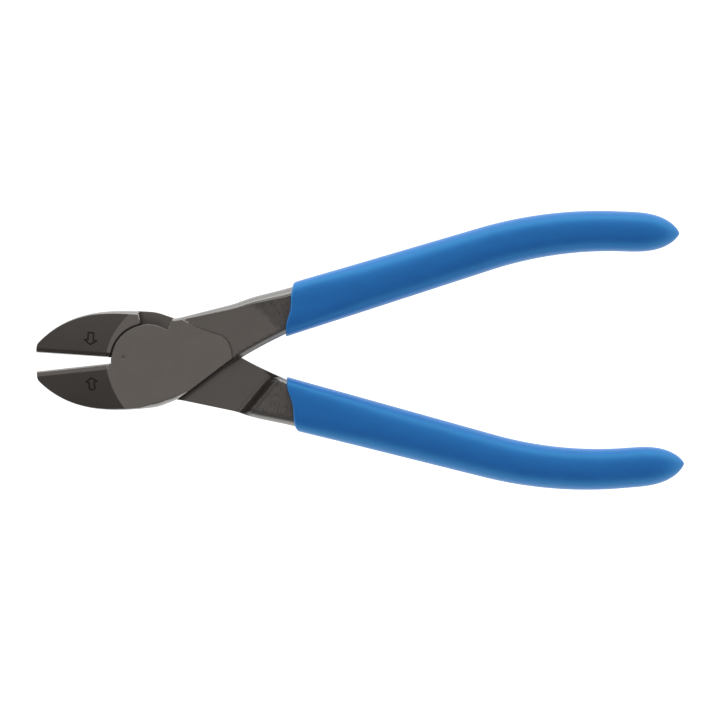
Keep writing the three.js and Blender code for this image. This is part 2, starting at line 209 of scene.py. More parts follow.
# Plan of a half: handle
notchCorner = polar(joint["lapRound"], joint["stopAngle"])
edgeStart = polar(joint["lapRound"] + plate["edgeOffset"], plate["edgeAngle"] - 90)
edgeEnd = edgeStart + polar(plate["edgeLength"], plate["edgeAngle"])
webCorner = edgeStart + polar(handle["webStart"], plate["edgeAngle"])
tangLengths = np.linspace(0, tangLength - handle["tangBlunt"], 90)
tangMiddle, tangSide = spine(tangLengths)
tangHalf = (halfWidth(tangLengths) * noseShare(tangLengths, tangLength))[:, None]
tangOuter = tangMiddle + tangSide * tangHalf
tangInner = tangMiddle - tangSide * tangHalf
rootX = np.linspace(notchCorner[0], tangOuter[0, 0], 80)
rootY = handle["rootFrom"][1] + handle["rootSlope"] * (rootX - handle["rootFrom"][0])
rootY = rootY + handle["swell"] * smooth(*handle["swellRun"], rootX)
toCorner = 1 - smooth(notchCorner[0], notchCorner[0] + handle["rootEase"], rootX)
rootY = rootY + (notchCorner[1] - rootY[0]) * toCorner
rootOuter = np.stack([rootX, rootY], 1)
swollen = 1 - smooth(0, handle["swellEase"], tangLengths)
tangOuter = tangOuter + (rootOuter[-1] - tangOuter[0]) * swollen[:, None]
innerControl = tangInner[0] - polar(handle["innerPull"], handle["innerSlope"])
webControl = webCorner + polar(handle["webPull"], handle["webSlope"])
rootInner = bezier([webCorner, webControl, innerControl, tangInner[0]])
crotchAt = int(np.argmax(rootInner[:, 0] > handle["crotch"]))
innerSide = np.concatenate([rootInner, tangInner[1:]])

# Jaw
tip = np.array([-jaw["reach"], -jaw["tipWidth"]])
jawBackEnd = polar(joint["lapRound"], jaw["backStart"])
jawBack = bezier([
    tip,
    tip + polar(jaw["tipPull"], -jaw["tipSlope"]),
    jawBackEnd + polar(jaw["backPull"], jaw["backStart"] - 90),
    jawBackEnd,
], 240)
jawMidAt = int(np.argmax(jawBack[:, 0] > -jaw["middle"]))
backTurn = np.degrees(np.arctan2(jawBack[:, 1], jawBack[:, 0])) % 360
jawEndAt = int(np.argmax(backTurn > joint["jawEnd"]))
jawBack[jawEndAt] = [
    np.interp(joint["jawEnd"], backTurn[jawEndAt - 1:], jawBack[jawEndAt - 1:, axis]) for axis in (0, 1)
]
facetSlope = (joint["halfThick"] - jaw["tipThick"]) / (jaw["reach"] - jaw["facetStart"])

# Raised plate: its edge to the handle, and a wide polygon on its side
bossTop = resampled(rootOuter, plate["topRun"])[0][1]
bossLine = np.concatenate([
    np.stack([webCorner, edgeEnd]),
    bezier([edgeEnd, plate["corner"], plate["shoulder"]])[1:],
    bezier([plate["shoulder"], plate["waist"], bossTop])[1:],
])
bossRegion = np.concatenate([
    bossLine,
    [bossTop + (-2, 4), (-60, 20), (-60, -40), edgeStart + (2, -3), webCorner + (2, -3)],
])

# Straight edge of the other half's plate as it lies at rest, in this half's frame
restNormal = polar(1, 90 - plate["edgeAngle"] - 2 * joint["turned"])
restDistance = float(restNormal @ (rotated(edgeStart, 2 * joint["turned"]) * (1, -1)))

# Step where the back of the handle rises from the lap face to its full thickness
seat = {
    "from": 15.0,  # x past which there is a step
    "angle": 37,
    "setback": 9.87,  # of its foot from the grip's mouth
    "run": 2.7,
    "corner": 0.96,  # where it turns along the inside
    "turn": (-0.2, 0.6),
    "ledge": 1.1,  # left along the inside
    "ledgeEnd": (34.5, 37.8),  # x where that runs out
    "sink": 4.0,  # then it passes this far under the inside
    "sinkFrom": (41, 46),
    "side": 1.0,  # width of the shoulder along the inside
    "wall": 0.06,  # share of it that is a wall
    "slope": 0.18,  # share of the height above the wall
    "hollow": 1.4,  # exponent of the slope
    "risen": (0.6, 4.0),  # behind the foot, where the edge's round grows
    "risenInside": (37.4, 41.0),  # x where it does along the inside
    "shadeShift": 0.2,  # painted shade band across the step, from the ramp's middle
    "shadeClear": 0.3,  # share of the shoulder where that painted shade ends
    "shadeEnd": (37.5, 39.0),  # x where the painted shade at the shoulder's foot ends
}
seatAcross = polar(1, seat["angle"])
seatFoot = handle["mouth"] @ seatAcross - seat["setback"]

# Marks on the face that is seen
arrow = {
    "reach": 15.95,  # point of the arrow from the pivot
    "setback": 3.0,  # and from the cutting edge
    "length": 3.85, "headLength": 1.75, "headWidth": 5.0, "shaftWidth": 2.0, "line": 0.5,
    "depth": 0.16,
    "wall": (0.1, 0.22),  # from the middle of the line
}
dimple = {"at": (-6.4, 1.4), "radius": 0.6, "depth": 0.08, "dark": 0.4}

# Painted shade in corners, at the feet of walls and along rounded edges, and the dark arrow mark: how dark,
# and the distances between which they fade out
shadeAndMarks = {
    "band": (0.86, 0.1, 2.5),  # across the step
    "ledge": (0.8, 0, 0.12),  # foot of the step's shoulder
    "corner": (0.8, 0.35, 0.6),  # inner corner of the jaw's end
    "endFoot": (0.45, 0, 1.6),  # lap face beside the jaw's end wall
    "plateFoot": (1, 0, 0.7),
    "crotch": (0.94, 25.8, 27.4),  # side of the handle beside the plate, by x
    "arrow": (0.8, 0.1, 0.36),
    "line": (1, 0, 0.6),  # along the rounded edges
}
darkest = 0.94


def faded(mark, distance):
    dark, near, far = shadeAndMarks[mark]
    return dark * (1 - smooth(near, far, distance))


def insetPolygon(points, distance):  # every corner moved along its bisector
    before = unit(points - np.roll(points, 1, 0))
    after = unit(np.roll(points, -1, 0) - points)
    bisector = unit(np.stack([-before[:, 1] - after[:, 1], before[:, 0] + after[:, 0]], 1))
    lean = bisector[:, 1] * after[:, 0] - bisector[:, 0] * after[:, 1]
    return points + bisector * (distance / lean)[:, None]


def arrowPolygon(inset):
    head, shaft = arrow["headWidth"] / 2, arrow["shaftWidth"] / 2
    neck, foot = -arrow["headLength"], -arrow["length"]
    left = [(0, 0), (-head, neck), (-shaft, neck), (-shaft, foot)]
    right = [(-x, y) for x, y in left[:0:-1]]
    corners = np.array(left + right) + (-arrow["reach"], -arrow["setback"])
    corners = insetPolygon(corners, inset)
    return np.concatenate([corners, corners[:1]])


arrowLine = arrowPolygon(arrow["line"] / 2)


def dimpleShare(points):  # 1 - r^2 inside the test dimple
    away = np.linalg.norm(points - dimple["at"], axis=1) / dimple["radius"]
    return np.clip(1 - away ** 2, 0, 1)


def grooved(points, marks):  # depth of the arrow and the dimple in a face
    depth = np.zeros(len(points))
    if "arrow" in marks:
        depth += arrow["depth"] * (1 - smooth(*arrow["wall"], distanceTo(points, arrowLine)))
    if "dimple" in marks:
        depth += dimple["depth"] * dimpleShare(points)
    return depth


def facetHeight(x, y, crown):  # falls evenly towards the tip, crowned across
    fall = joint["halfThick"] + facetSlope * (x + jaw["facetStart"]) - y ** 2 / (2 * crown)
    return np.minimum(fall, joint["halfThick"])


def jawHeight(x, y, crown):  # facet, or the ground strip and the steep edge where they are lower
    inside = np.maximum(-y, 0)
    fade = 1 - smooth(-joint["discRound"] - jaw["runOut"], -joint["discRound"], x)
    drop = fade * math.tan(math.radians(jaw["bevelSlope"]))
    rim = facetHeight(x, -jaw["bevel"] + 0 * x, crown)
    strip = rim - drop * np.maximum(jaw["bevel"] - inside, 0)
    edge = (rim - drop * (jaw["bevel"] - jaw["edgeWidth"])) * inside / jaw["edgeWidth"]
    onEdge = (inside < jaw["edgeWidth"]) & (x < -joint["socketRound"] - jaw["edgeStop"])
    return np.minimum(facetHeight(x, y, crown), np.where(onEdge, edge, strip))


def handleLevel(x):  # half thickness: an even fall to the grip's mouth, then the tang's own
    length = np.interp(x, tangMiddle[:, 0], tangLengths)
    fall = np.clip((x - handle["levelFrom"]) / handle["levelRun"], 0, 1)
    root = blend(joint["halfThick"] - plate["step"], handle["level"], fall)
    return np.where(x < handle["mouth"][0], root, halfLevel(length) * noseShare(length, tangLength))


def frontHeight(points, marks, crown):  # raised plate, the handle a step lower, and the jaw
    x, y = points.T
    away = distanceTo(points, bossLine) * np.where(insideOf(points, bossRegion), 1, -1)
    wallRun = blend(plate["topWallRun"], plate["wallRun"], smooth(*plate["topWallEnd"], x))
    face = blend(handleLevel(x), joint["halfThick"], smooth(-wallRun, 0, away))
    return np.minimum(face, jawHeight(x, y, crown)) - grooved(points, marks)


def seatLedge(x):  # ledge between the inner side and the step, which ends before the grip
    return seat["ledge"] * (1 - smooth(*seat["ledgeEnd"], x)) - seat["sink"] * smooth(*seat["sinkFrom"], x)


def seatPlace(points):  # distance behind the foot, share of the inner side, rise from 0 to 1
    corner = seat["corner"]
    behind = points @ seatAcross - seatFoot
    along = behind / seat["run"]
    inward = (distanceTo(points, innerSide) - seatLedge(points[:, 0])) / seat["side"]
    reach = corner - np.hypot(np.maximum(corner - along, 0), np.maximum(corner - inward, 0))
    reach = reach + np.maximum(np.minimum(along, inward) - corner, 0)
    return behind, smooth(*seat["turn"], along - inward), reach


def islandShare(points):  # a smooth ramp across the handle, a wall and a sloped shoulder inside
    inside, reach = seatPlace(points)[1:]
    aboveWall = np.clip((1 - reach) / (1 - seat["wall"]), 0, 1)
    shoulder = np.clip(reach / seat["wall"], 0, 1) * (1 - seat["slope"] * aboveWall ** seat["hollow"])
    return blend(smooth(0, 1, reach), shoulder, inside)


def backHeight(points, marks, crown):  # lap face, the jaw and the full handle standing out behind it
    x, y = points.T
    radius = np.hypot(x, y)
    angle = np.degrees(np.arctan2(y, x)) % 360
    inJaw = (radius > joint["socketRound"]) & (angle > 179.9) & (angle < joint["jawEnd"])
    toEnd = np.clip(np.radians(joint["jawEnd"] - angle) * radius / joint["jawEndRound"], 0, 1)
    endRound = joint["jawEndRound"] * (1 - np.sqrt(1 - (1 - toEnd) ** 2))
    endRound = endRound * smooth(*joint["jawEndFade"], radius)
    jawDepth = jawHeight(x, y, crown) - endRound - grooved(points, marks)
    island = (handleLevel(x) + joint["lapFace"]) * islandShare(points)
    lap = joint["lapFace"] - np.where(x > seat["from"], island, 0)
    return np.where(inJaw, -jawDepth, lap)


def shadedAndMarked(points, marks):  # sum of the painted shade at the step, the jaw's end and the plate's foot, and of the dark arrow and dimple marks
    x, y = points.T
    dark = np.zeros(len(points))
    # painted shade across the step's ramp and at the foot of its shoulder
    if "seat" in marks:
        behind, inside, reach = seatPlace(points)
        band = faded("band", np.abs(behind - seat["run"] / 2 - seat["shadeShift"]))
        band = band * (1 - inside * smooth(0, seat["shadeClear"], reach))
        ledge = faded("ledge", reach) * inside * (1 - smooth(*seat["shadeEnd"], x))
        dark += np.where(x > seat["from"], np.maximum(band, ledge), 0)
    # painted shade in the corner at the jaw's end and on the lap face beside its wall
    if "end" in marks:
        radius = np.hypot(x, y)
        beyond = np.radians(np.degrees(np.arctan2(y, x)) % 360 - joint["jawEnd"]) * radius
        corner = faded("corner", radius - joint["socketRound"] - beyond)
        dark += np.where(beyond > 0, faded("endFoot", beyond), corner)
    # painted shade at the foot of the plate's step onto the handle
    if "foot" in marks:
        depth = blend(*plate["shadeAndMarks"], smooth(*plate["shadeRun"], x))
        foot = depth * faded("plateFoot", distanceTo(points, bossLine))
        dark += np.where(insideOf(points, bossRegion), 0, foot)
    if "arrow" in marks:
        dark += faded("arrow", distanceTo(points, arrowLine))
    if "dimple" in marks:
        dark += dimple["dark"] * dimpleShare(points)
    return dark


# A run of the outline: its line, the step between points, what is cut off where it meets the next run, the
# edge's rounds on both faces (width and depth, at its start and end), their exponent, and its painted shade
# lines.
def run(line, step, corner, front, back, shape=2.0, dark=(0.0, 0.0)):
    ends = [np.array([*front[end], *back[end], shape, *dark]) for end in (0, 1)]
    return {"line": np.asarray(line), "step": step, "corner": corner, "ends": ends}


sharp = [(0.012, 0.05)] * 2
crisp = [(0.06, 0.06)] * 2
machined = [(0.12, 0.12)] * 2
blunt = [(1.0, 2.0)] * 2


def outlineRuns():  # anticlockwise from the throat
    throat = (-joint["discRound"], 0.0)
    socket = (-joint["socketRound"], 0.0)
    edgeTip = (-jaw["reach"], 0.0)
    lapArc = polar(joint["lapRound"], np.linspace(jaw["backStart"], plate["roundEnd"], 80))
    lapEnd = lapArc[-1]
    tangent = polar(1, plate["roundEnd"] + 90)
    along = polar(1, plate["edgeAngle"])
    lapCorner = bezier([lapEnd, lapEnd + 1.6 * tangent, edgeStart - 0.6 * along, edgeStart + 0.8 * along])
    fadeEnd = lapCorner[-1] + plate["roundFade"] * along
    turn = np.linspace(joint["stopFoot"], 180, 80)
    eased = joint["discEase"] * smooth(*joint["easeFrom"], turn) * (1 - smooth(*joint["easeTo"], turn))
    disc = polar(joint["discRound"] - eased, turn)
    wallFoot = polar(joint["discRound"], joint["stopFoot"])
    # painted shade lines: on the front along the handle's inside, on both faces along its outside
    inside = {"shape": 1.12, "dark": (0.6, 0)}
    outside = {"dark": (0.12, 0.4)}
    return [
        run([throat, socket], 0.1, 0.03, sharp, machined),
        run([socket, edgeTip], 0.35, 0.2, sharp, sharp),
        run([edgeTip, tip], 0.25, 0.8, machined, machined),
        run(jawBack[:jawMidAt + 1], 0.4, 0.03, [(0.1, 0.1), (0.2, 0.4)], [(0.1, 0.1), (0.3, 0.7)]),
        run(jawBack[jawMidAt:jawEndAt + 1], 0.4, 0.03, [(0.2, 0.4), (0.45, 1.3)], [(0.3, 0.7), (1.0, 3.0)]),
        run(jawBack[jawEndAt:], 0.3, 0.1, [(0.45, 1.3), (1.2, 3.0)], machined),
        run(lapArc, 0.35, 0.1, [(1.2, 3.0), (1.3, 3.2)], machined),
        run(lapCorner, 0.3, 0.05, [(1.3, 3.2), (0.9, 2.3)], machined),
        run([lapCorner[-1], fadeEnd], 0.3, 0.05, [(0.9, 2.3), (0.06, 0.06)], machined),
        run([fadeEnd, webCorner], 0.4, 0.3, crisp, machined),
        run(rootInner[:crotchAt + 1], 0.3, 0.03, [(0.12, 0.12), (1.25, 0.95)], machined, **inside),
        run(rootInner[crotchAt:], 0.35, 0.5, [(1.25, 0.95), (1.4, 1.05)], machined, **inside),
        run(tangInner, 2.0, 1.2, [(1.4, 1.05), (2.0, 3.5)], [(1.3, 3.0), (2.0, 3.5)]),
        run([tangInner[-1], tangOuter[-1]], 0.8, 1.2, blunt, blunt),
        run(tangOuter[::-1], 2.0, 0.5, [(2.0, 3.5), (2.2, 3.9)], [(2.0, 3.5), (2.1, 2.2)], **outside),
        run(rootOuter[::-1], 0.35, 0.3, [(2.2, 3.9), (0.6, 2.2)], [(2.1, 2.2), (1.5, 1.5)], **outside),
        run([notchCorner, wallFoot], 0.3, joint["notchFillet"], crisp, machined),
        run(disc, 0.35, 0.12, crisp, machined),
    ]


def joinedRuns(runs):  # closed outline, its corners cut by small curves, and the rounds along it
    points, rounds = [], []
    before = runs[-1:] + runs[:-1]
    cut = [resampled(here["line"], here["step"], last["corner"], here["corner"])
           for here, last in zip(runs, before)]
    for k, here in enumerate(runs):
        line, share = cut[k]
        follow = (k + 1) % len(runs)
        start, end = here["ends"]
        points += [line, bezier([line[-1], here["line"][-1], cut[follow][0][0]], 5)[1:-1]]
        rounds.append(blend(start, end, share[:, None]))
        rounds.append(blend(end, runs[follow]["ends"][0], np.linspace(0.25, 0.75, 3)[:, None]))
    return np.concatenate(points), np.concatenate(rounds)


def thinnedBack(outline, rounds):  # the back's rounds are machined ones until the step has risen
    x, y = outline.T
    least = np.array(machined[0])
    onHandle = x > seat["from"]
    onInside = onHandle & (distanceTo(outline, innerSide) < 0.3)
    byNotch = (y > 9.5) & (x > 7) & ~onHandle
    risen = smooth(*seat["risen"], outline @ seatAcross - seatFoot)
    risen = np.where(onInside, smooth(*seat["risenInside"], x), risen)
    thinned = np.where(onHandle[:, None], blend(least, rounds, risen[:, None]), rounds)
    return np.where(byNotch[:, None], least, thinned), risen, onInside


# Rows of points on the faces of a half, so that their triangles follow the bends
layout = {
    "grid": 0.9,  # between the rows
    "gridGap": 0.35,
    "guard": 0.1,  # row inside the outline
    "guardGap": 0.07, "edgeGap": 0.16, "holeSides": 96,
    "holeRing": 0.12,  # row round the hole
    "holeGap": 0.06,
    "plateEdge": (-0.7, -0.4, -0.3, -0.2, -0.13, -0.065, 0.005, 0.065, 0.2, 0.4, 0.7),
    "socket": (-0.03, 0.01, 0.2),
    "jawEnd": (-2.4, -1.6, -0.9, -0.4, -0.03, 0.05),  # degrees
    "shoulder": (-0.04, 0.03, 0.07, 0.35, 0.65, 1.0, 1.3),
    "arrow": (-0.34, -0.22, -0.1, 0.0, 0.1, 0.22, 0.34),
    "dimple": (0.35, 0.7, 0.95, 1.1),  # shares of its radius
}


def jawRows(crown):  # crease of the face, and lines along the ground strip
    y = np.linspace(-14, -0.2, 48)
    crease = np.stack([-jaw["facetStart"] + y ** 2 / (2 * crown * facetSlope), y], 1)
    x = np.linspace(-jaw["reach"] + 0.3, -joint["discRound"] - 0.02, 66)
    strips = (jaw["edgeWidth"], (jaw["edgeWidth"] + jaw["bevel"]) / 2, jaw["bevel"])
    return [crease] + [np.stack([x, 0 * x - inside], 1) for inside in strips]


def plateRows():
    edge = resampled(bossLine, 0.2)[0]
    return [edge + sideways(edge, False) * offset for offset in layout["plateEdge"]]


def lapRows():  # socket, jaw's end, the step's ramp and its shoulder
    turn = np.linspace(180.3, joint["jawEnd"] - 0.3, 90)
    wall = np.linspace(joint["socketRound"] + 0.1, joint["lapRound"] + 1, 14)
    rows = [polar(joint["socketRound"] + out, turn) for out in layout["socket"]]
    rows += [polar(wall, joint["jawEnd"] + out) for out in layout["jawEnd"]]
    up, across = np.meshgrid(np.arange(-1.2, 5.0, 0.3), np.arange(-14, 14, 0.4))
    away = np.array([-seatAcross[1], seatAcross[0]])
    start = seatAcross * seatFoot + away * ((34, 7) @ away)
    ramp = start + up.reshape(-1, 1) * seatAcross + across.reshape(-1, 1) * away
    beyond = distanceTo(ramp, innerSide) - seatLedge(ramp[:, 0])
    onShoulder = (beyond > -0.3) & (beyond < 1.45) & (up.ravel() > seat["run"])
    rows.append(ramp[~onShoulder])
    inner = resampled(innerSide, 0.3)[0]
    inner = inner[(inner[:, 0] > 29) & (inner[:, 0] < 44)]
    normal, ledge = sideways(inner, False), seatLedge(inner[:, 0])[:, None]
    return rows + [inner + normal * (ledge + seat["side"] * share) for share in layout["shoulder"]]


def markRows(marks):
    rows = []
    if "arrow" in marks:
        rings = [arrowPolygon(arrow["line"] / 2 + out) for out in layout["arrow"]]
        rows += [resampled(ring, 0.2)[0][:-1] for ring in rings]
    if "dimple" in marks:
        turn = np.linspace(0, 345, 24)
        rows += [np.array(dimple["at"]) + polar(dimple["radius"] * out, turn) for out in layout["dimple"]]
    return rows


def fineGrid(step):  # every other row shifted by half a step
    x, y = np.meshgrid(np.arange(-31, 46, step), np.arange(-15, 20, step))
    grid = np.stack([x.ravel(), y.ravel()], 1)
    grid[:, 0] += 0.5 * step * (np.round(grid[:, 1] / step) % 2)
    return grid


def triangulated(loops, extra, holeRadius):  # Delaunay triangles inside the first loop and outside the hole
    points = np.concatenate(loops + extra)
    edges = []
    start = 0
    for loop in loops:
        here = np.arange(start, start + len(loop))
        edges += np.stack([here, np.roll(here, -1)], 1).tolist()
        start += len(loop)
    result = delaunay_2d_cdt(list(map(Vector, points.tolist())), edges, [], 1, 1e-5)
    flat = np.array([tuple(point) for point in result[0]])
    corners = np.array(result[2])
    middle = flat[corners].mean(1)
    return flat, corners[np.hypot(*middle.T) > holeRadius]


def sheet(outline, normal, rounds, height, rows, marks, crown, holeRadius):  # one face over the plan
    loop = outline + normal * rounds[:, :1]
    closedLoop = np.concatenate([loop, loop[:1]])
    guard = outline + normal * (rounds[:, :1] + layout["guard"])
    turn = np.linspace(0, 360, layout["holeSides"], endpoint=False)
    hole = polar(holeRadius, turn)
    ring = polar(holeRadius + layout["holeRing"], turn + 1.9)
    features = np.concatenate(jawRows(crown) + rows() + markRows(marks) + [ring])
    grid = fineGrid(layout["grid"])
    gap = np.sqrt(((grid[:, None] - features[None]) ** 2).sum(2)).min(1)
    loose = np.concatenate([features, grid[gap > layout["gridGap"]]])
    clear = insideOf(loose, loop) & (distanceTo(loose, closedLoop) > layout["edgeGap"])
    clear &= np.hypot(*loose.T) > holeRadius + layout["holeGap"]
    keepGuard = insideOf(guard, loop) & (distanceTo(guard, closedLoop) > layout["guardGap"])
    flat, corners = triangulated([loop, hole], [guard[keepGuard], loose[clear]], holeRadius)
    points = np.column_stack([flat, height(flat, marks, crown)])
    return loop, hole, height(loop, marks, crown), points, corners


def quads(rows, count):  # faces of a grid of closed rows
    here = np.arange(count)
    ahead = (here + 1) % count
    low = np.arange(rows - 1)[:, None] * count
    return np.stack([low + here, low + ahead, low + count + ahead, low + count + here], -1).reshape(-1, 4)


def closedTube(rows):  # points and faces of joined rows, with a fan at each end
    count = rows.shape[1]
    points = np.concatenate([rows.reshape(-1, 3), [rows[0].mean(0), rows[-1].mean(0)]])
    here = np.arange(count)
    ahead = (here + 1) % count
    last = (len(rows) - 1) * count
    middle = np.full(count, rows.size // 3)
    fans = [np.stack([ahead, here, middle], 1), np.stack([last + here, last + ahead, middle + 1], 1)]
    return points, [quads(len(rows), count)] + fans


def placed(points, turnedOver):  # from the half's own frame to the tool's
    out = points * (1, -1, -1) if turnedOver else points.copy()
    out[:, :2] = rotated(out[:, :2], -joint["turned"] if turnedOver else joint["turned"])
    out[:, 2] += joint["halfThick"]
    return out


def meshPiece(name, points, faceLists, sharpAngle, plan, layers):  # merged, smooth-shaded object in metres
    mesh = bpy.data.meshes.new(name)
    mesh.from_pydata((points * 0.001).tolist(), [], [face for part in faceLists for face in part.tolist()])
    planLayer = mesh.attributes.new("plan", "FLOAT_VECTOR", "POINT")
    planLayer.data.foreach_set("vector", plan.astype(np.float32).ravel())
    for layer, values in layers.items():
        mesh.attributes.new(layer, "FLOAT", "POINT").data.foreach_set("value", values.astype(np.float32))
    work = bmesh.new()
    work.from_mesh(mesh)
    bmesh.ops.remove_doubles(work, verts=work.verts, dist=2e-6)
    bmesh.ops.dissolve_degenerate(work, edges=work.edges, dist=1e-7)
    work.to_mesh(mesh)
    openEdges = sum(1 for edge in work.edges if len(edge.link_faces) != 2)
    work.free()
    mesh.polygons.foreach_set("use_smooth", np.ones(len(mesh.polygons), bool))
    mesh.set_sharp_from_angle(angle=math.radians(sharpAngle))
    if "crease" in layers:
        sharpenCreases(mesh)
    piece = bpy.data.objects.new(name, mesh)
    scene.collection.objects.link(piece)
    print(f"{name}: {len(mesh.polygons)} faces, {openEdges} open edges")
    return piece


def sharpenCreases(mesh):  # edges with both ends on a crease are sharp too
    onCrease = np.zeros(len(mesh.vertices), np.float32)
    mesh.attributes["crease"].data.foreach_get("value", onCrease)
    ends = np.zeros(2 * len(mesh.edges), np.int32)
    mesh.edges.foreach_get("vertices", ends)
    isSharp = np.zeros(len(mesh.edges), bool)
    mesh.edges.foreach_get("use_edge_sharp", isSharp)
    isSharp |= onCrease[ends.reshape(-1, 2)].min(1) > 0.5
    mesh.edges.foreach_set("use_edge_sharp", isSharp)


rivet = {"radius": 3.9, "headRadius": 5.2, "headDepth": 1.3, "headRim": 0.02,
         "boreRim": 0.03, "hairline": 0.004}


def edgeRows(outline, normal, rounds, shape, edge, fit):  # quarter superellipse, face to side
    turn = np.radians(np.linspace(90, 0, 9))[:, None]
    out = rounds[:, 0] * (1 - np.abs(np.cos(turn)) ** (2 / shape))
    drop = fit * rounds[:, 1] * (1 - np.abs(np.sin(turn)) ** (2 / shape))
    return np.dstack([outline + out[..., None] * normal, edge - drop])


def edgeShadeLine(points, loop, amount):  # painted shade: a soft dark line inside the edge's round
    gap = np.sqrt(((points[:, None] - loop[None]) ** 2).sum(2))
    return amount[gap.argmin(1)] * faded("line", gap.min(1))


def creased(points, crown):  # 1 where the jaw's ground faces meet
    x, y, z = points.T
    facetLine = np.abs(x + jaw["facetStart"] - y ** 2 / (2 * crown * facetSlope)) < 0.003
    stripLine = (np.abs(y + jaw["bevel"]) < 0.003) & (x < -joint["discRound"])
    return ((facetLine | stripLine) & (np.abs(z) > 1)).astype(float)


def forgedHalf(name, frontMarks, backMarks, turnedOver):
    crown = jaw["rearCrown"] if turnedOver else jaw["frontCrown"]
    outline, rounds = joinedRuns(outlineRuns())
    normal = sideways(outline, True)
    frontRound = rounds[:, :2]
    backRound, risen, onInside = thinnedBack(outline, rounds[:, 2:4])
    shape, frontEdgeShade, backEdgeShade = rounds[:, 4:].T
    backEdgeShade = backEdgeShade * risen
    headHole, shankHole = rivet["headRadius"] + rivet["hairline"], rivet["radius"] + rivet["hairline"]
    topLoop, topHole, topEdge, top, topFaces = sheet(
        outline, normal, frontRound, frontHeight, plateRows, frontMarks, crown, headHole)
    lowLoop, lowHole, lowEdge, low, lowFaces = sheet(
        outline, normal, backRound, backHeight, lapRows, backMarks, crown, shankHole)
    fit = np.minimum(1, 0.98 * (topEdge - lowEdge) / (frontRound[:, 1] + backRound[:, 1]))
    frontRows = edgeRows(outline, normal, frontRound, shape, topEdge, fit)
    backRows = edgeRows(outline, normal, backRound, shape, lowEdge, -fit)[::-1]
    side = np.concatenate([frontRows, backRows])
    half = joint["halfThick"]
    levels = [(topHole, half), (topHole, half - rivet["boreRim"])]
    levels += [(lowHole, half - rivet["headDepth"]), (lowHole, joint["lapFace"])]
    bore = np.stack([np.column_stack([hole, np.full(len(hole), level)]) for hole, level in levels])
    parts = [side.reshape(-1, 3), bore.reshape(-1, 3), top, low]
    starts = np.cumsum([0] + [len(part) for part in parts])
    faceLists = [
        quads(len(side), len(outline))[:, ::-1],
        quads(len(bore), len(topHole)) + starts[1],
        topFaces + starts[2],
        lowFaces[:, ::-1] + starts[3],
    ]

    # For the finish: painted shade and dark marks, rounded edges, and creases between ground faces
    topPlan, lowPlan = top[:, :2], low[:, :2]
    rounded = np.ones(side.shape[:2])
    rounded[[0, -1]] = 0
    rounded[:, (outline[:, 0] < -joint["discRound"]) & (outline[:, 1] > -0.1)] = 0
    inside, reach = seatPlace(lowPlan)[1:]
    shoulder = inside * smooth(0.04, 0.1, reach) * (1 - smooth(0.75, 1.0, reach)) * (low[:, 0] > seat["from"])
    # painted shade: dark lines on the rounded sides next to the faces, and on the inside round beside the
    # plate up to the crotch
    fade = 1 - smooth(1, 4, np.arange(len(frontRows)))[:, None]
    crotch = np.where(onInside, faded("crotch", outline[:, 0]), 0)
    frontSide = np.maximum(fade * frontEdgeShade, crotch)
    backSide = np.maximum(fade[::-1] * backEdgeShade, shadedAndMarked(outline, backMarks & {"seat"}))
    offPlate = ~insideOf(topPlan, bossRegion)
    frontFaceShadeAndMarks = offPlate * edgeShadeLine(topPlan, topLoop, np.maximum(frontEdgeShade, crotch))
    frontFaceShadeAndMarks = frontFaceShadeAndMarks + shadedAndMarked(topPlan, frontMarks)
    backFaceShadeAndMarks = shadedAndMarked(lowPlan, backMarks) + edgeShadeLine(lowPlan, lowLoop, backEdgeShade)
    none = np.zeros(len(parts[1]))
    # painted shade and dark marks, per point
    shadeAndMarkDark = np.concatenate([frontSide.ravel(), backSide.ravel(), none, frontFaceShadeAndMarks, backFaceShadeAndMarks])
    layers = {
        "shadeAndMarkDark": np.clip(shadeAndMarkDark, 0, darkest),
        "rounded": np.concatenate([rounded.ravel(), none, 0 * top[:, 0], shoulder]),
        "crease": np.concatenate([0 * rounded.ravel(), none, creased(top, crown), creased(low, crown)]),
    }
    points = np.concatenate(parts)
    return meshPiece(name, placed(points, turnedOver), faceLists, 32, points, layers)


frontForging = forgedHalf("frontForging", {"arrow", "dimple", "foot"}, {"seat", "end"}, False)
rearForging = forgedHalf("rearForging", {"foot"}, {"arrow", "seat", "end"}, True)


def turnedPin(name, sides=96):  # shank and two countersunk heads, turned about the pivot
    half, head = joint["halfThick"], rivet["headRadius"]
    upper = [(rivet["radius"], half - rivet["headDepth"]), (head, half - rivet["headRim"]), (head, half)]
    lower = [(radius, -height) for radius, height in reversed(upper)]
    radius, height = np.array(lower + upper).T[:, :, None]
    turn = np.linspace(0, 2 * np.pi, sides, endpoint=False)
    rows = np.dstack([radius * np.cos(turn), radius * np.sin(turn), height + half + 0 * turn])
    points, faceLists = closedTube(rows)
    return meshPiece(name, points, faceLists, 30, points, {})


pivotPin = turnedPin("pivotPin")

grip = {
    "wall": 1.1, "gap": 0.15, "mouthTilt": 25.5,
    "mouthSquare": 3.4,  # superellipse exponent at the mouth
    "square": 2.3,  # and along the grip
    "roundedBy": 0.25,  # share of the length where it has changed
    "tangSquare": 3.0, "sides": 72,
    "mouthWave": 0.28,  # unevenness of the dipped edge
    "slantEnd": (2, 22),  # where the mouth's slant fades out
    "dense": 24.0,  # rings stand closer from the mouth to here
    "hollowEnd": 3.0,  # from the hollow's end to the tang's
    "dripAngle": 88.6,  # last ring before the nose's point
}


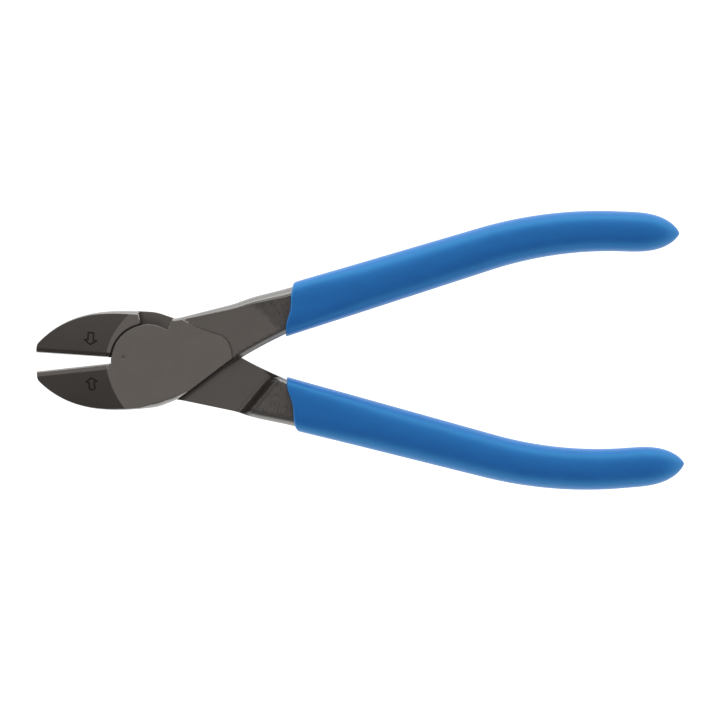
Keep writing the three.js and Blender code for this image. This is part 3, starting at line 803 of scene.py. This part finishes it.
def gripRows(lengths, cover, total, inside):  # superellipse sections along the spine, sheared at the mouth
    turn = np.linspace(0, 2 * np.pi, grip["sides"], endpoint=False)
    share = np.clip(lengths / bendEnd, 0, 1)
    rounding = share if inside else np.minimum(share / grip["roundedBy"], 1)
    square = blend(grip["mouthSquare"], grip["tangSquare"] if inside else grip["square"], rounding)
    square = square[:, None]
    radius = (np.abs(np.cos(turn)) ** square + np.abs(np.sin(turn)) ** square) ** (-1 / square)
    across, up = radius * np.cos(turn), radius * np.sin(turn)
    nose = noseShare(lengths, total)
    u = (halfWidth(lengths) + cover)[:, None] * nose[:, None] * across
    z = (halfLevel(lengths) + cover)[:, None] * nose[:, None] * up
    slant = u * math.tan(math.radians(grip["mouthTilt"]))
    slant = slant + grip["mouthWave"] * (np.cos(0.75 * u) + 0.35 * np.sin(1.1 * z + 0.4 * u))
    atMouth = 1 - smooth(*grip["slantEnd"], lengths)
    point, side = spine(lengths[:, None] + atMouth[:, None] * slant)
    return np.dstack([point + side * u[..., None], z])


def dippedGrip(name, turnedOver):  # outside from the drip point to the lip, round it, and back along the tang
    skin, gap, dense = grip["wall"] + grip["gap"], grip["gap"], grip["dense"]
    bead = grip["wall"] / 2
    nose = gripLength - handle["nose"] * (1 - np.sin(np.radians(np.linspace(grip["dripAngle"], 0, 26))))
    outer = np.concatenate([nose, np.linspace(nose[-1], dense, 46)[1:], np.linspace(dense, bead, 22)[1:]])
    roll = np.radians(np.linspace(0, 180, 13))[1:]
    lip = bead * (1 - np.sin(roll))
    hollowEnd = tangLength - grip["hollowEnd"]
    inner = np.concatenate([np.linspace(bead, dense, 10)[1:], np.linspace(dense, hollowEnd, 34)[1:]])
    rows = np.concatenate([
        gripRows(outer, skin + 0 * outer, gripLength, False),
        gripRows(lip, gap + bead + bead * np.cos(roll), gripLength, False),
        gripRows(inner, gap + 0 * inner, tangLength, True),
    ])
    points, faceLists = closedTube(rows)
    outward = [part[:, ::-1] for part in faceLists]
    return meshPiece(name, placed(points, turnedOver), outward, 60, points, {})


upperSleeve = dippedGrip("upperSleeve", False)
lowerSleeve = dippedGrip("lowerSleeve", True)
print("pieces made")


class Wire:  # a shader socket that can be used in sums
    def __init__(self, socket):
        self.socket = socket
        self.tree = socket.id_data

    def make(self, kind, settings, sockets, out=0):
        node = self.tree.nodes.new("ShaderNode" + kind)
        for name, value in settings.items():
            setattr(node, name, value)
        for name, value in sockets.items():
            if isinstance(value, Wire):
                self.tree.links.new(value.socket, node.inputs[name])
            else:
                node.inputs[name].default_value = value
        return Wire(node.outputs[out])

    def calc(self, operation, a, b=0.0):
        return self.make("Math", {"operation": operation}, {0: a, 1: b})

    def __add__(self, other):
        return self.calc("ADD", self, other)

    def __radd__(self, other):
        return self.calc("ADD", other, self)

    def __sub__(self, other):
        return self.calc("SUBTRACT", self, other)

    def __rsub__(self, other):
        return self.calc("SUBTRACT", other, self)

    def __mul__(self, other):
        return self.calc("MULTIPLY", self, other)

    def __rmul__(self, other):
        return self.calc("MULTIPLY", other, self)

    def ramp(self, low, high):  # 0 below low, 1 above high
        settings = {"interpolation_type": "SMOOTHSTEP", "clamp": True}
        return self.make("MapRange", settings, {"Value": self, "From Min": low, "From Max": high})

    def mix(self, a, b):  # colour a where this is 0, b where it is 1
        return self.make("Mix", {"data_type": "RGBA"}, {0: self, 6: a, 7: b}, 2)

    def tint(self, colour):
        return self.make("VectorMath", {"operation": "SCALE"}, {0: colour, "Scale": self})

    def parts(self):
        split = self.make("SeparateXYZ", {}, {0: self})
        return [Wire(socket) for socket in split.socket.node.outputs]

    def noise(self, stretch, scale, detail, rough):  # on a stretched vector
        vector = self.make("VectorMath", {"operation": "MULTIPLY"}, {0: self, 1: stretch})
        sockets = {"Vector": vector, "Scale": scale, "Detail": detail, "Roughness": rough}
        return self.make("TexNoise", {}, sockets)

    def layer(self, name):  # a value stored with the mesh
        return self.make("Attribute", {"attribute_name": name}, {}, "Fac")

    def bumps(self, strength, distance):
        return self.make("Bump", {}, {"Strength": strength, "Distance": distance, "Height": self})

    def feed(self, name):
        self.tree.links.new(self.socket, self.tree.nodes["Principled BSDF"].inputs[name])


def newMaterial(name, constants):
    material = bpy.data.materials.new(name)
    material.use_nodes = True
    shader = material.node_tree.nodes["Principled BSDF"]
    for socket, value in constants.items():
        shader.inputs[socket].default_value = value
    return material


def planOf(material):  # wire to the piece's plan in millimetres
    node = material.node_tree.nodes.new("ShaderNodeAttribute")
    node.attribute_name = "plan"
    return Wire(node.outputs["Vector"])


steel = {
    "ground": (0.296, 0.265, 0.243, 1), "forged": (0.185, 0.170, 0.158, 1),
    "rim": (0.268, 0.263, 0.254, 1),  # rounded edges, polished by use
    # the dark that painted shade and the arrow and dimple marks blend towards
    "shadeAndMarkDark": (0.030, 0.027, 0.025, 1),
    "jawShare": 0.465,  # share of the ground colour on the jaws: partly painted shade, partly the darker tone of hardened jaws
    "frontStripLit": 0.53,  # and the strip ground along the cutting edge, painted lighter on the lower jaw as it faces the light
    # the upper jaw's strip is painted darker, as shade on the side away from the light
    "rearStripShaded": 0.31, "edgeShare": 0.42, "handleShare": 0.88, "lapShare": 0.80,
    "restShadow": 0.28,  # what is left of the colour in the painted shadow beside the other plate's edge
    "ring": 0.5,  # share of that darkening in the painted shade round the disc
    "roughAngle": 45,  # line behind which the face is left as forged
    "roughFrom": 30.5,
    "roughWander": 5.0,  # how unevenly it runs
    "cloud": ((1, 1, 1), 0.16, 3, 0.55),  # noise: stretch, scale, detail, roughness
    "grain": ((0.35, 5.0, 1.0), 1.6, 4, 0.6), "pits": ((1.6, 0.6, 0.8), 1.3, 6, 0.75),
    "roughness": 0.34, "bump": (0.4, 0.0003),
}


def groundSteel(name):  # cloudy tone and grinding lines of the forgings and the rivet
    material = newMaterial(name, {"Metallic": 1.0})
    plan = planOf(material)
    cloud = plan.noise(*steel["cloud"])
    grain = plan.noise(*steel["grain"])
    tone = (0.94 + cloud * 0.12) * (0.9 + grain * 0.2)
    roughness = steel["roughness"] + (grain - 0.5) * 0.12 + (cloud - 0.5) * 0.06
    return material, plan, cloud, grain, tone, roughness


def forgedSteel(name, crown, strip, stripToThroat):
    material, plan, cloud, grain, tone, roughness = groundSteel(name)
    x, y, z = plan.parts()
    disc, lapEdge = joint["discRound"], joint["lapRound"]
    pits = plan.noise(*steel["pits"])
    onFace = 1 - plan.layer("rounded").ramp(0.0, 0.6)

    # Ground jaw: past the crease, the strip along the edge, and the steep edge. Their shares of the ground
    # colour are partly painted shade, and the strip is painted lighter on the lower jaw than on the upper.
    crease = y * y * (1 / (2 * crown * facetSlope)) - jaw["facetStart"] - x
    onJaw = crease.ramp(-0.06, 0.06) * (0 - x).ramp(disc - 5, disc - 4.9) * onFace
    onStrip = (y + jaw["bevel"]).ramp(-0.03, 0.03)
    if stripToThroat:
        past = onStrip * (0 - x).ramp(disc, disc + 0.1) * onFace
        onJaw = onJaw + past * (1 - onJaw)
    onStrip = onStrip * onJaw
    onEdge = (y + jaw["edgeWidth"]).ramp(-0.03, 0.03) * onJaw
    ground = blend(steel["jawShare"], strip, onStrip)
    ground = ground + onEdge * (steel["edgeShare"] - strip)

    # Skin left as forged: behind a wandering line in front, and on the step behind
    behind = x * seatAcross[0] + y * seatAcross[1] - seatFoot
    roughAcross = polar(1, steel["roughAngle"])
    past = x * roughAcross[0] + y * roughAcross[1] - steel["roughFrom"]
    frontSkin = (past + (cloud - 0.5) * steel["roughWander"]).ramp(-1.0, 1.2)
    onBack = (0 - z).ramp(0.2, 0.4)
    skin = blend(frontSkin, behind.ramp(1.6, 2.8), onBack) * onFace
    pitted = skin * (pits - 0.42).ramp(0.0, 0.35) * 0.5

    # Lap face: painted shadow beside the other plate's edge where it lies at rest, and a ring of painted
    # shade round the disc
    onLap = z.ramp(-0.3, -0.2) * (1 - z.ramp(0.2, 0.3)) * onFace
    beside = x * restNormal[0] + y * restNormal[1] - restDistance
    towardsHandle = x.ramp(2, 6)
    restShadow = onLap * beside.ramp(-0.3, 0.0) * (1 - beside.ramp(0.4, 2.0)) * towardsHandle
    squared = x * x + y * y
    fromDisc = squared.calc("SQRT", squared).ramp(disc, lapEdge)
    ring = onLap * (1 - fromDisc) * (1 - towardsHandle) * steel["ring"]
    onHandle = (1 - onFace * (1 - z.ramp(0.5, 1.0))) * (1 - z.ramp(5.3, 5.5)) * x.ramp(8.5, 9.5)

    share = (1 - onJaw * (1 - ground)) * (1 - (restShadow + ring) * (1 - steel["restShadow"]))
    share = share * (1 - onHandle * (1 - steel["handleShare"]))
    share = share * (1 - onLap * (1 - steel["lapShare"])) * tone * (1 - pitted)
    colour = onFace.mix(steel["rim"], skin.mix(steel["ground"], steel["forged"]))
    # painted shade and dark marks blend the colour towards that dark
    shadeAndMarkDark = plan.layer("shadeAndMarkDark")
    shadeAndMarkDark.mix(share.tint(colour), steel["shadeAndMarkDark"]).feed("Base Color")
    (roughness + skin * 0.16 + shadeAndMarkDark * 0.2).feed("Roughness")
    (grain * 0.05 + pits * skin * 1.2).bumps(*steel["bump"]).feed("Normal")
    return material


def rivetSteel():
    material, plan, cloud, grain, tone, roughness = groundSteel("rivetSteel")
    tone.tint(steel["ground"][:3]).feed("Base Color")
    roughness.feed("Roughness")
    (grain * 0.05).bumps(*steel["bump"]).feed("Normal")
    return material


dip = {
    "blue": (0.0205, 0.139, 0.482, 1), "deep": (0.0195, 0.128, 0.453, 1), "gloss": 0.82,
    "glossTint": (0.2, 1.0, 1.0, 1), "roughness": 0.40, "mottle": ((0.5, 1.0, 1.0), 0.35, 4, 0.6),
    "skin": ((1, 1, 1), 5.0, 3, 0.5), "bump": (0.25, 0.0003),
}


def blueVinyl():
    constants = {"Specular IOR Level": dip["gloss"], "Specular Tint": dip["glossTint"]}
    material = newMaterial("blueVinyl", constants)
    plan = planOf(material)
    mottle = plan.noise(*dip["mottle"])
    skin = plan.noise(*dip["skin"])
    mottle.ramp(0.3, 0.7).mix(dip["deep"], dip["blue"]).feed("Base Color")
    (dip["roughness"] + (mottle - 0.5) * 0.16 + (skin - 0.5) * 0.06).feed("Roughness")
    (mottle * 0.6 + skin * 0.12).bumps(*dip["bump"]).feed("Normal")
    return material


frontSteel = forgedSteel("frontSteel", jaw["frontCrown"], steel["frontStripLit"], False)
rearSteel = forgedSteel("rearSteel", jaw["rearCrown"], steel["rearStripShaded"], True)
vinyl = blueVinyl()
finishes = [
    (frontForging, "front", "front_half", "forged_steel", frontSteel),
    (rearForging, "rear", "rear_half", "forged_steel", rearSteel),
    (pivotPin, "front", "pivot_rivet", "rivet_steel", rivetSteel()),
    (upperSleeve, "front", "upper_grip", "blue_vinyl", vinyl),
    (lowerSleeve, "rear", "lower_grip", "blue_vinyl", vinyl),
]
for piece, body, node, slot, material in finishes:
    piece.data.materials.append(material)
    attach(piece, body)
    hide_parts(node)
print("materials on", len(finishes), "pieces")

# Stage: pale floor, soft studio light, camera over the tool
studio = {
    "field": 0.2011,  # picture's width at the tool, in metres
    "distance": 3.0, "lookAt": (0.05947, -0.00135, 0.00575),
    "roll": -1.2,  # of the picture, from the tool's long axis
    "lean": 1.5,  # of the camera, to the upper side
    "sensor": 36, "benchHalf": 2.5, "benchAt": (0.06, 0, -0.0002),
    "glow": 1.05,  # bench lit from below
    "walls": (1.2, 2.5),  # lower and upper side of the picture
    "wallTurn": (-0.3, 1.0), "ceiling": 0.27,
    "ceilingTilt": 0.30,  # lighter to the upper side
    "ceilingFrom": (0.38, 0.72),  # heights where it takes over
    "overhead": 0.14,  # soft panel above
    "overheadTilt": 0.2, "overheadFrom": (0.90, 1.0),
}


def benchTop():
    half = studio["benchHalf"]
    mesh = bpy.data.meshes.new("benchTop")
    corners = [(-half, -half, 0), (half, -half, 0), (half, half, 0), (-half, half, 0)]
    mesh.from_pydata(corners, [], [(0, 1, 2, 3)])
    material = newMaterial("paleBench", {
        "Base Color": (0.4, 0.4, 0.4, 1),
        "Roughness": 0.9,
        "Emission Color": (1, 1, 1, 1),
        "Emission Strength": studio["glow"],
    })
    mesh.materials.append(material)
    bench = bpy.data.objects.new("benchTop", mesh)
    bench.location = studio["benchAt"]
    scene.collection.objects.link(bench)


def studioLight():  # a tent: walls, a darker ceiling, and a panel straight above
    world = bpy.data.worlds.new("softTent")
    world.use_nodes = True
    scene.world = world
    tree = world.node_tree
    ray = Wire(tree.nodes.new("ShaderNodeTexCoord").outputs["Generated"])
    across, height = ray.parts()[1:]
    wall = blend(*studio["walls"], across.ramp(*studio["wallTurn"]))
    ceiling = across * studio["ceilingTilt"] + studio["ceiling"]
    panel = (height + across * studio["overheadTilt"]).ramp(*studio["overheadFrom"]) * studio["overhead"]
    tent = blend(wall, ceiling, height.ramp(*studio["ceilingFrom"])) + panel
    tree.links.new(tent.socket, tree.nodes["Background"].inputs["Color"])


def overheadCamera():
    camera = bpy.data.cameras.new("overhead")
    camera.sensor_fit = "HORIZONTAL"
    camera.sensor_width = studio["sensor"]
    camera.lens = studio["sensor"] * studio["distance"] / studio["field"]
    camera.clip_start = 0.05
    holder = bpy.data.objects.new("overhead", camera)
    roll, lean = math.radians(studio["roll"]), math.radians(studio["lean"])
    right = Vector((math.cos(roll), math.sin(roll), 0))
    up = Vector((-math.sin(roll), math.cos(roll), 0))
    back = up * math.sin(lean) + Vector((0, 0, 1)) * math.cos(lean)
    holder.matrix_world = Matrix((right, back.cross(right), back)).transposed().to_4x4()
    holder.location = Vector(studio["lookAt"]) + back * studio["distance"]
    scene.collection.objects.link(holder)
    scene.camera = holder


benchTop()
studioLight()
overheadCamera()
scene.view_settings.view_transform = "Standard"
print("stage set")
